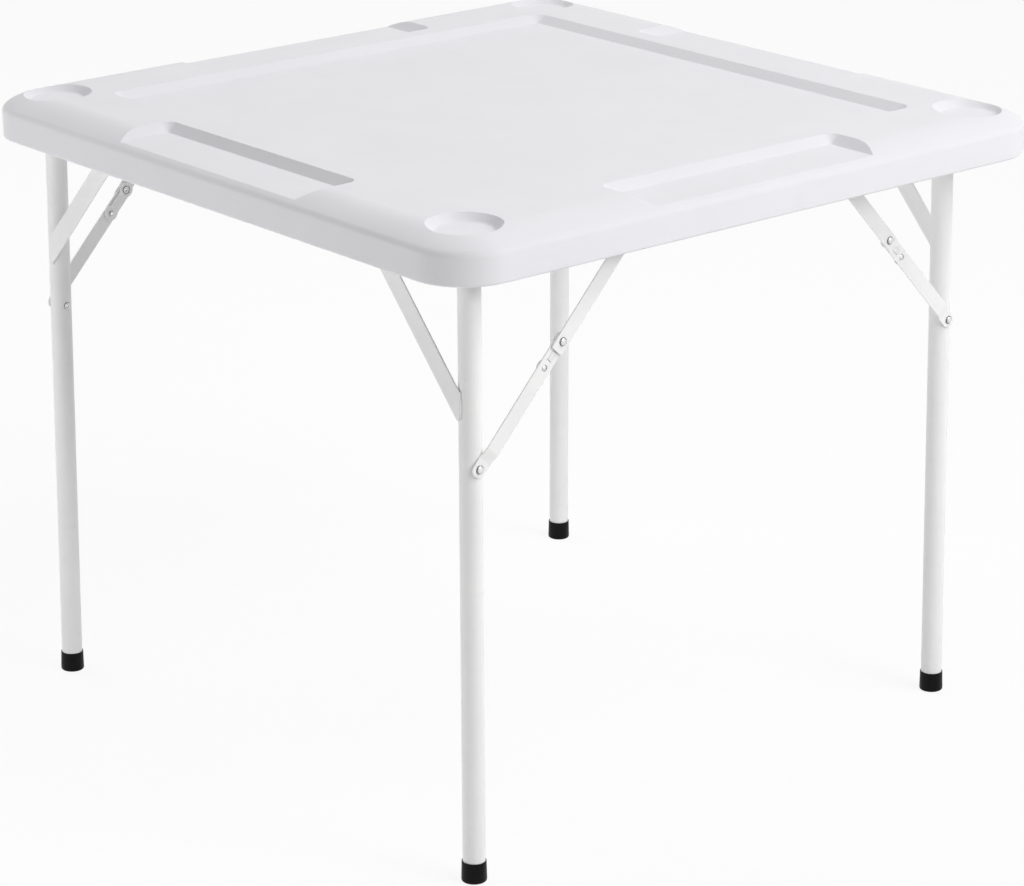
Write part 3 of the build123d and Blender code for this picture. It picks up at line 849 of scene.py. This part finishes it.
def add_bead(shape, path, radius, closed=False, sides=8, seed=0):
    """A weld bead along a path, with ripples in its thickness and open ends that taper."""
    rings, normals = [], []
    count = len(path)
    for k, point in enumerate(path):
        before = path[k - 1] if closed or k else path[0]
        after = path[(k + 1) % count] if closed or k < count - 1 else path[-1]
        ahead = (Vector(after) - Vector(before)).normalized()
        side = ahead.cross(ASKEW).normalized()
        other = ahead.cross(side)
        swell = 1 + 0.10 * sin(k * 1.9 + seed) + 0.06 * sin(k * 0.7 + 2 * seed)
        if not closed:
            swell *= sqrt(max(0.0, sin(pi * (k + 0.15) / (count - 0.7))))
        around = [side * cos(2 * pi * n / sides) + other * sin(2 * pi * n / sides)
                  for n in range(sides)]
        rings.append(shape.add_points([Vector(point) + a * radius * swell for a in around]))
        normals.append(around)
    for k in range(count if closed else count - 1):
        n = (k + 1) % count
        shape.add_band(rings[k], rings[n], normals[k], normals[n])
    if not closed:
        shape.add_face(rings[0][::-1], normals[0][::-1])
        shape.add_face(rings[-1], normals[-1])


def dome(height, steps=8):
    """The profile of a domed rivet head that stands on height 0."""
    turns = [pi / 2 * k / steps for k in range(steps + 1)]
    rows = [(HEAD_RADIUS * sin(turn), HEAD_RIM + (height - HEAD_RIM) * cos(turn))
            for turn in turns]
    rows[0] = (0.0, height)
    return rows + [(HEAD_RADIUS, 0.0), (0.0, 0.0)]


def make_leg_weld(end):
    """The bead where a leg is welded to its hinge tube."""
    shape, leg = Shape(), FRAMES[end]
    side = Vector((1, 0, 0))
    side = (side - leg.down * side.dot(leg.down)).normalized()
    other = leg.down.cross(side)
    path, steps = [], 56
    leg_radius, hinge_radius = TUBE_RADIUS + 0.3, TUBE_RADIUS + 0.6
    for k in range(steps):
        # Where a line along the leg, just outside its tube, comes out of the hinge tube
        turn = 2 * pi * k / steps
        around = (side * cos(turn) + other * sin(turn)) * leg_radius
        run, rise = leg.down.y, leg.down.z
        a = run * run + rise * rise
        b = 2 * (run * around.y + rise * around.z)
        c = around.y ** 2 + around.z ** 2 - hinge_radius ** 2
        reach = (-b + sqrt(max(b * b - 4 * a * c, 0))) / (2 * a)
        path.append(leg.hinge + leg.down * reach + around)
    add_bead(shape, path, LEG_BEAD, closed=True, seed=1)
    return shape


def strap_sheet(leg):
    """The plane of the strap's inner face, outside the tubes of leg and hinge."""
    out = Vector((0, -cos(leg.tilt), sin(leg.tilt)))
    upward = Vector((0, sin(leg.tilt), cos(leg.tilt)))
    return Sheet(leg.hinge + out * (TUBE_RADIUS + WELD_GAP), (1, 0, 0), upward)


def strap_corners(leg):
    """The corners of the strap, before they are rounded, on the strap's sheet."""
    low = Vector((SPLAY_X * STRAP_DROP / leg.hinge.z, -STRAP_DROP))
    lean = Vector((STRAP_REACH, -STRAP_DROP)).normalized()
    across = Vector((-lean.y, lean.x)) * STRAP_HALF
    corners = []
    for offset, edge in ((-1, "end"), (1, "end"), (1, "top"), (-1, "top")):
        start = low + across * offset
        if edge == "end":
            corners.append(start + lean * ((low.x - start.x) / lean.x))
        else:
            corners.append(start + lean * ((STRAP_TOP - start.y) / lean.y))
    return corners


def make_strap(end):
    """The fixed diagonal plate between a leg and its hinge tube."""
    shape, leg = Shape(), FRAMES[end]
    add_plate(shape, strap_sheet(leg), polygon_rows(strap_corners(leg), STRAP_CORNER),
              edge_levels(STRAP_THICKNESS, PLATE_EDGE))
    return shape


def make_strap_welds(end):
    """Beads along the strap's end on the leg and along its top edge on the hinge tube."""
    shape, leg = Shape(), FRAMES[end]
    sheet = strap_sheet(leg)
    low, high, right, left = strap_corners(leg)
    beads = ((low + Vector((0.4, 5)), high + Vector((0.4, -4)), 0.7, 2),
             (left + Vector((6, 0.2)), right + Vector((-5, 0.2)), 0.6, 3))
    for start, finish, height, seed in beads:
        places = [start.lerp(finish, k / BEAD_STEPS) for k in range(BEAD_STEPS + 1)]
        add_bead(shape, [sheet.point(*place, height) for place in places], STRAP_BEAD,
                 seed=seed)
    return shape


def make_lower_link(end):
    """Joggled near the leg, with a window for the catch and a hole for the lock rivet."""
    shape, leg = Shape(), FRAMES[end]
    length = leg.lower_length
    sheet = Sheet(leg.on_brace(leg.tab_x, 0), leg.along, leg.across,
                  (JOGGLE_START, JOGGLE_RUN, JOGGLE_HEIGHT))
    outline = slot_rows(length, LINK_HALF, 2)
    window = hole_rows(rounded_outline(WINDOW_HALF, WINDOW_HALF_WIDTH, WINDOW_CORNER, 3,
                                       (length - CATCH_OFFSET, 0)))
    rivet_hole = hole_rows(circle_rows(length - LOCK_REACH, RIVET_HOLE))
    # Lines across the faces, on which these bend at the joggle
    half = LINK_HALF - PLATE_EDGE
    across = [((x, -half), (x, half))
              for x, y, out_x, out_y in outline if out_y > 0.999 and 5 < x < 30]
    add_plate(shape, sheet, outline, edge_levels(LINK_THICKNESS, PLATE_EDGE),
              (window, rivet_hole), across)
    return shape


def make_upper_link(end):
    """Round at the bracket, square at the lock, where it stops on the catch."""
    shape, leg = Shape(), FRAMES[end]
    sheet = Sheet(leg.on_brace(leg.upper_x, leg.lower_length), leg.along, leg.across)
    place_u, place_v = UPPER_CORNER - UPPER_END, LINK_HALF - UPPER_CORNER
    outline = arc_rows((leg.upper_length, 0), LINK_HALF, -pi / 2, pi / 2, 24)
    outline += arc_rows((place_u, place_v), UPPER_CORNER, pi / 2, pi, 6)
    outline += arc_rows((place_u, -place_v), UPPER_CORNER, pi, 3 * pi / 2, 6)
    add_plate(shape, sheet, outline, edge_levels(LINK_THICKNESS, PLATE_EDGE))
    return shape


def make_lock_spring(end):
    """A waisted plate with an eye and a shank hole, and a catch that stands up from it."""
    shape, leg = Shape(), FRAMES[end]
    start = leg.lower_length - LOCK_REACH
    sheet = Sheet(leg.on_brace(leg.lock_x, start), leg.along, leg.across)
    eye = hole_rows(circle_rows(LOCK_REACH, EYE_RADIUS))
    shank_hole = hole_rows(circle_rows(0, SHANK_HOLE))
    add_plate(shape, sheet, waisted_rows(LOCK_REACH, LOCK_RADIUS, LOCK_WAIST, LOCK_BEND),
              edge_levels(LOCK_THICKNESS, LOCK_EDGE), (eye, shank_hole))
    catch = rounded_outline(CATCH_HALF, CATCH_HALF_WIDTH, CATCH_CORNER, 3,
                            (LOCK_REACH - CATCH_OFFSET, 0))
    levels = [(0, 0.9, 1, 0), (0.05, 3.45, 1, 0.1), (0.15, 3.7, 0.7, 0.7), (0.4, 3.8, 0, 1)]
    add_plate(shape, sheet, catch, levels)
    return shape


def make_lock_rivet(end):
    """Flush in the lower link outside, with a low button inside."""
    shape, leg = Shape(), FRAMES[end]
    place = leg.lower_length - LOCK_REACH
    face = leg.lower_x + LINK_THICKNESS
    add_lathe(shape, leg.on_brace(face - 1.4, place), (1, 0, 0),
              [(0.0, 1.45), (1.6, 1.38), (2.6, 1.15), (3.0, 0.8), (3.0, 0.0), (0.0, 0.0)],
              RIVET_SEGMENTS)
    add_lathe(shape, leg.on_brace(leg.lock_x - 0.7, place), (-1, 0, 0),
              [(0.0, 1.0), (1.2, 0.95), (2.3, 0.75), (2.9, 0.3), (3.0, -0.1), (1.8, -0.1),
               (1.8, -3.0), (0.0, -3.0)], RIVET_SEGMENTS)
    return shape


def make_leg_rivet(end):
    """Domed on the lower link and rolled on the inner side of the leg."""
    shape, leg = Shape(), FRAMES[end]
    add_lathe(shape, leg.on_brace(leg.tab_x + LINK_THICKNESS, 0), (1, 0, 0), dome(2.5))
    add_lathe(shape, leg.on_brace(leg.rivet_x - TUBE_RADIUS, 0), (-1, 0, 0),
              [(radius, height + 0.1) for radius, height in ROLLED_TAIL])
    return shape


def make_rivet_head(end):
    """The headed half of the middle rivet, on the upper link."""
    shape, leg = Shape(), FRAMES[end]
    add_lathe(shape, leg.on_brace(leg.upper_x + LINK_THICKNESS, leg.lower_length),
              (1, 0, 0), dome(2.4))
    return shape


def make_rivet_tail(end):
    """The rolled half of the middle rivet, on the lower link."""
    shape, leg = Shape(), FRAMES[end]
    add_lathe(shape, leg.on_brace(leg.lower_x, leg.lower_length), (-1, 0, 0), ROLLED_TAIL)
    return shape


def make_bracket_rivet(end):
    """Almost flush on the upper link, which the folded lower link passes, rolled outside."""
    shape, leg = Shape(), FRAMES[end]
    reach = leg.ear_x + LINK_THICKNESS - leg.upper_x
    profile = [(radius, height + reach) for radius, height in ROLLED_TAIL[:-1]]
    profile += [(3.0, reach), (3.0, 0.0), (4.4, 0.0), (4.3, -0.15), (0.0, -0.15)]
    add_lathe(shape, Vector((leg.upper_x, *leg.bracket_rivet.yz)), (1, 0, 0), profile)
    return shape


def make_foot(end):
    """A rubber cap with a rounded rim and sole, level on the floor."""
    shape, leg = Shape(), FRAMES[end]
    profile = [(12.5, 14.0), (12.55, 23.2), (12.75, 23.8), (13.15, 24.0), (13.5, 23.75),
               (13.62, 23.2), (13.9, 12.0), (14.15, 2.6)]
    sole_radius, sole_round, sunk, steps = 11.75, 2.4, 0.2, 5
    for k in range(1, steps + 1):
        turn = pi / 2 * k / steps
        profile.append((sole_radius + sole_round * cos(turn),
                        sole_round * (1 - sin(turn)) - sunk))
    profile.append((0.0, -sunk))
    add_lathe(shape, leg.foot, -leg.down, profile, FOOT_SEGMENTS, floor=0.0)
    return shape


for end in ENDS:
    leg_body = end + "_frame"
    pieces = (("leg_weld", make_leg_weld(end), "frame_paint", "frame", None),
              ("strap_plate", make_strap(end), "frame_paint", "frame", "strap"),
              ("strap_welds", make_strap_welds(end), "frame_paint", "frame", None),
              ("lower_brace", make_lower_link(end), "frame_paint", "lower_link", "lower_link"),
              ("upper_brace", make_upper_link(end), "frame_paint", "upper_link", "upper_link"),
              ("lock_plate", make_lock_spring(end), "lock_steel", "lock", "lock_spring"),
              ("lock_button", make_lock_rivet(end), "bare_steel", "lower_link", "lock_rivet"),
              ("leg_rivet", make_leg_rivet(end), "bare_steel", "frame", None),
              ("middle_rivet", make_rivet_head(end), "bare_steel", "upper_link",
               "rivet_head"),
              ("rolled_rivet", make_rivet_tail(end), "bare_steel", "lower_link",
               "rivet_tail"),
              ("bracket_rivet", make_bracket_rivet(end), "bare_steel", "tabletop", None),
              ("rubber_foot", make_foot(end), "foot_rubber", "frame", "foot"))
    for side in SIDES:
        corner = end + "_" + side + "_"
        for name, shape, slot, body, node in pieces:
            body = {"frame": leg_body, "tabletop": body}.get(body, corner + body)
            nodes = [corner + node] if node else []
            if name == "leg_rivet":
                nodes = [end + "_leg_rivets"]
            if name == "bracket_rivet":
                nodes = ["bracket_rivets"]
            piece(corner + name, shape.moved_to(end, side), slot, body, *nodes)


# CAD nodes that keep their own meshes
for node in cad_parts.values():
    for slot in node.material_slots:
        if slot.material is not None:
            for key, material in MATERIALS.items():
                if slot.material.name.startswith(key):
                    slot.material = material
                    break


# Studio, in metres
FLOOR_REACH = 30
FLOOR_WHITE = 0.90
WORLD_LIGHT = 0.20
LIGHT_DISTANCE = 5
LIGHT_BASE = 0.6
AIM_HEIGHT = 0.65
# The camera as it was fitted to the photo: place, azimuth, elevation and roll in degrees
CAMERA_PLACE = (3.09653, -2.61019, 1.71901)
CAMERA_TURN = (49.8204, 19.1525, -0.1769)
CAMERA_LENS = 125.54
SENSOR_WIDTH = 36


def background_share(nodes, links):
    """1 for the camera and for what metal and glass show, 0 for the light on the table."""
    path = nodes.new("ShaderNodeLightPath")
    share = path.outputs["Is Camera Ray"]
    for ray in ("Is Glossy Ray", "Is Transmission Ray"):
        either = nodes.new("ShaderNodeMath")
        either.operation = "MAXIMUM"
        links.new(share, either.inputs[0])
        links.new(path.outputs[ray], either.inputs[1])
        share = either.outputs[0]
    return share


def make_floor():
    """A pale floor that keeps the shadow and is nearly white to the camera."""
    mesh = bpy.data.meshes.new("studio_floor")
    corners = ((-1, -1), (1, -1), (1, 1), (-1, 1))
    mesh.from_pydata([(x * FLOOR_REACH, y * FLOOR_REACH, 0) for x, y in corners], [],
                     [(0, 1, 2, 3)])
    floor = bpy.data.objects.new("studio_floor", mesh)
    bpy.context.scene.collection.objects.link(floor)
    material, nodes, links, shader = new_material("studio_floor")
    shader.inputs["Roughness"].default_value = 0.9
    shader.inputs["Specular IOR Level"].default_value = 0.1
    source = nodes.new("ShaderNodeTexCoord").outputs["Object"]
    patches = noise(nodes, links, source, 3)
    tone = mix_colours(nodes, links, patches, (0.90, 0.90, 0.90), (0.92, 0.92, 0.92))
    links.new(tone, shader.inputs["Base Color"])
    glow = nodes.new("ShaderNodeEmission")
    glow.inputs["Strength"].default_value = 1.0
    glow.inputs["Color"].default_value = (1.0, 1.0, 1.0, 1.0)
    share = remap(nodes, links, background_share(nodes, links), 0, 1, 0, FLOOR_WHITE)
    blend = nodes.new("ShaderNodeMixShader")
    links.new(share, blend.inputs[0])
    links.new(shader.outputs[0], blend.inputs[1])
    links.new(glow.outputs[0], blend.inputs[2])
    links.new(blend.outputs[0], nodes["Material Output"].inputs["Surface"])
    mesh.materials.append(material)


def make_world():
    """Soft light on the table, white behind it."""
    world = bpy.data.worlds.new("studio_world")
    bpy.context.scene.world = world
    world.use_nodes = True
    nodes, links = world.node_tree.nodes, world.node_tree.links
    soft = nodes["Background"]
    soft.inputs["Color"].default_value = (1, 1, 1, 1)
    soft.inputs["Strength"].default_value = WORLD_LIGHT
    white = nodes.new("ShaderNodeBackground")
    white.inputs["Color"].default_value = (1, 1, 1, 1)
    white.inputs["Strength"].default_value = 1.0
    blend = nodes.new("ShaderNodeMixShader")
    links.new(background_share(nodes, links), blend.inputs[0])
    links.new(soft.outputs[0], blend.inputs[1])
    links.new(white.outputs[0], blend.inputs[2])
    links.new(blend.outputs[0], nodes["World Output"].inputs["Surface"])


def soft_light(name, place, size, power, seen=True):
    """A softbox that faces the table."""
    light = bpy.data.lights.new(name, "AREA")
    light.shape = "RECTANGLE"
    light.size, light.size_y = size
    light.energy = power
    obj = bpy.data.objects.new(name, light)
    bpy.context.scene.collection.objects.link(obj)
    obj.location = place
    obj.visible_camera = seen
    away = obj.location - Vector((0, 0, AIM_HEIGHT))
    obj.rotation_euler = away.to_track_quat("Z", "Y").to_euler()


def around(azimuth, elevation):
    """A place for a lamp, with azimuth from +X and elevation in degrees."""
    turn, rise = radians(azimuth), radians(elevation)
    level = LIGHT_DISTANCE * cos(rise)
    return (level * cos(turn), level * sin(turn), LIGHT_BASE + LIGHT_DISTANCE * sin(rise))


def make_camera():
    """The camera of the photo, built from its place and its three angles."""
    azimuth, elevation, roll = (radians(angle) for angle in CAMERA_TURN)
    back = Vector((sin(azimuth) * cos(elevation), -cos(azimuth) * cos(elevation),
                   sin(elevation)))
    level = Vector((cos(azimuth), sin(azimuth), 0))
    upward = back.cross(level)
    right = level * cos(roll) + upward * sin(roll)
    up = upward * cos(roll) - level * sin(roll)
    camera = bpy.data.cameras.new("camera")
    camera.lens = CAMERA_LENS
    camera.sensor_width = SENSOR_WIDTH
    camera.dof.use_dof = False
    obj = bpy.data.objects.new("camera", camera)
    bpy.context.scene.collection.objects.link(obj)
    turn = Matrix((right, up, back)).transposed().to_4x4()
    obj.matrix_world = Matrix.Translation(CAMERA_PLACE) @ turn
    bpy.context.scene.camera = obj


make_floor()
make_world()
soft_light("key_light", around(30, 50), (2.5, 2.5), 107)
soft_light("right_light", around(12, 26), (2.5, 1.6), 90)
soft_light("left_light", around(-170, 55), (2.5, 2.5), 73)
soft_light("back_light", around(140, 35), (2.5, 2.5), 20)
soft_light("floor_light", (-0.7, -2.0, 0.05), (2.4, 0.9), 26, seen=False)
make_camera()
bpy.context.scene.view_settings.view_transform = "Standard"
